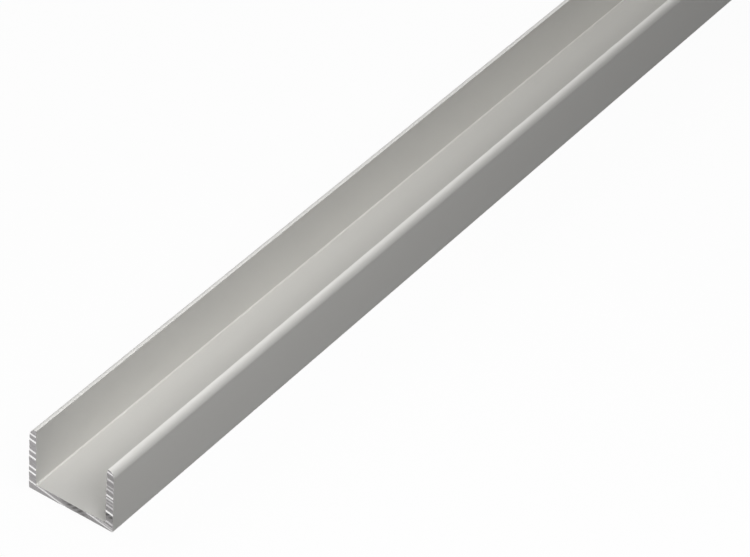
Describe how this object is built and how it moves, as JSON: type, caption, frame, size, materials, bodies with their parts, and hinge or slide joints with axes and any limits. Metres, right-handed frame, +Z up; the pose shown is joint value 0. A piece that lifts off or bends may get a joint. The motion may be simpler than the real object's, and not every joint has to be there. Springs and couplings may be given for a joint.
{
  "type": "aluminium u-channel profile",
  "caption": "Straight extruded U-channel bar of silver anodised aluminium with thin walls, rounded leg tips and sawn ends, for capping or guiding a board edge.",
  "frame": {"origin": "midway along the bar, on the underside of its base", "axes": "+X along the bar, +Y across it towards the left leg, +Z up out of the open channel"},
  "size_m": [1, 0.02, 0.015],
  "materials": {
    "anodised_aluminium": "silver anodised, satin, with bare sawn ends"
  },
  "bodies": {
    "root": {"u_channel": "anodised_aluminium"}
  },
  "joints": []
}
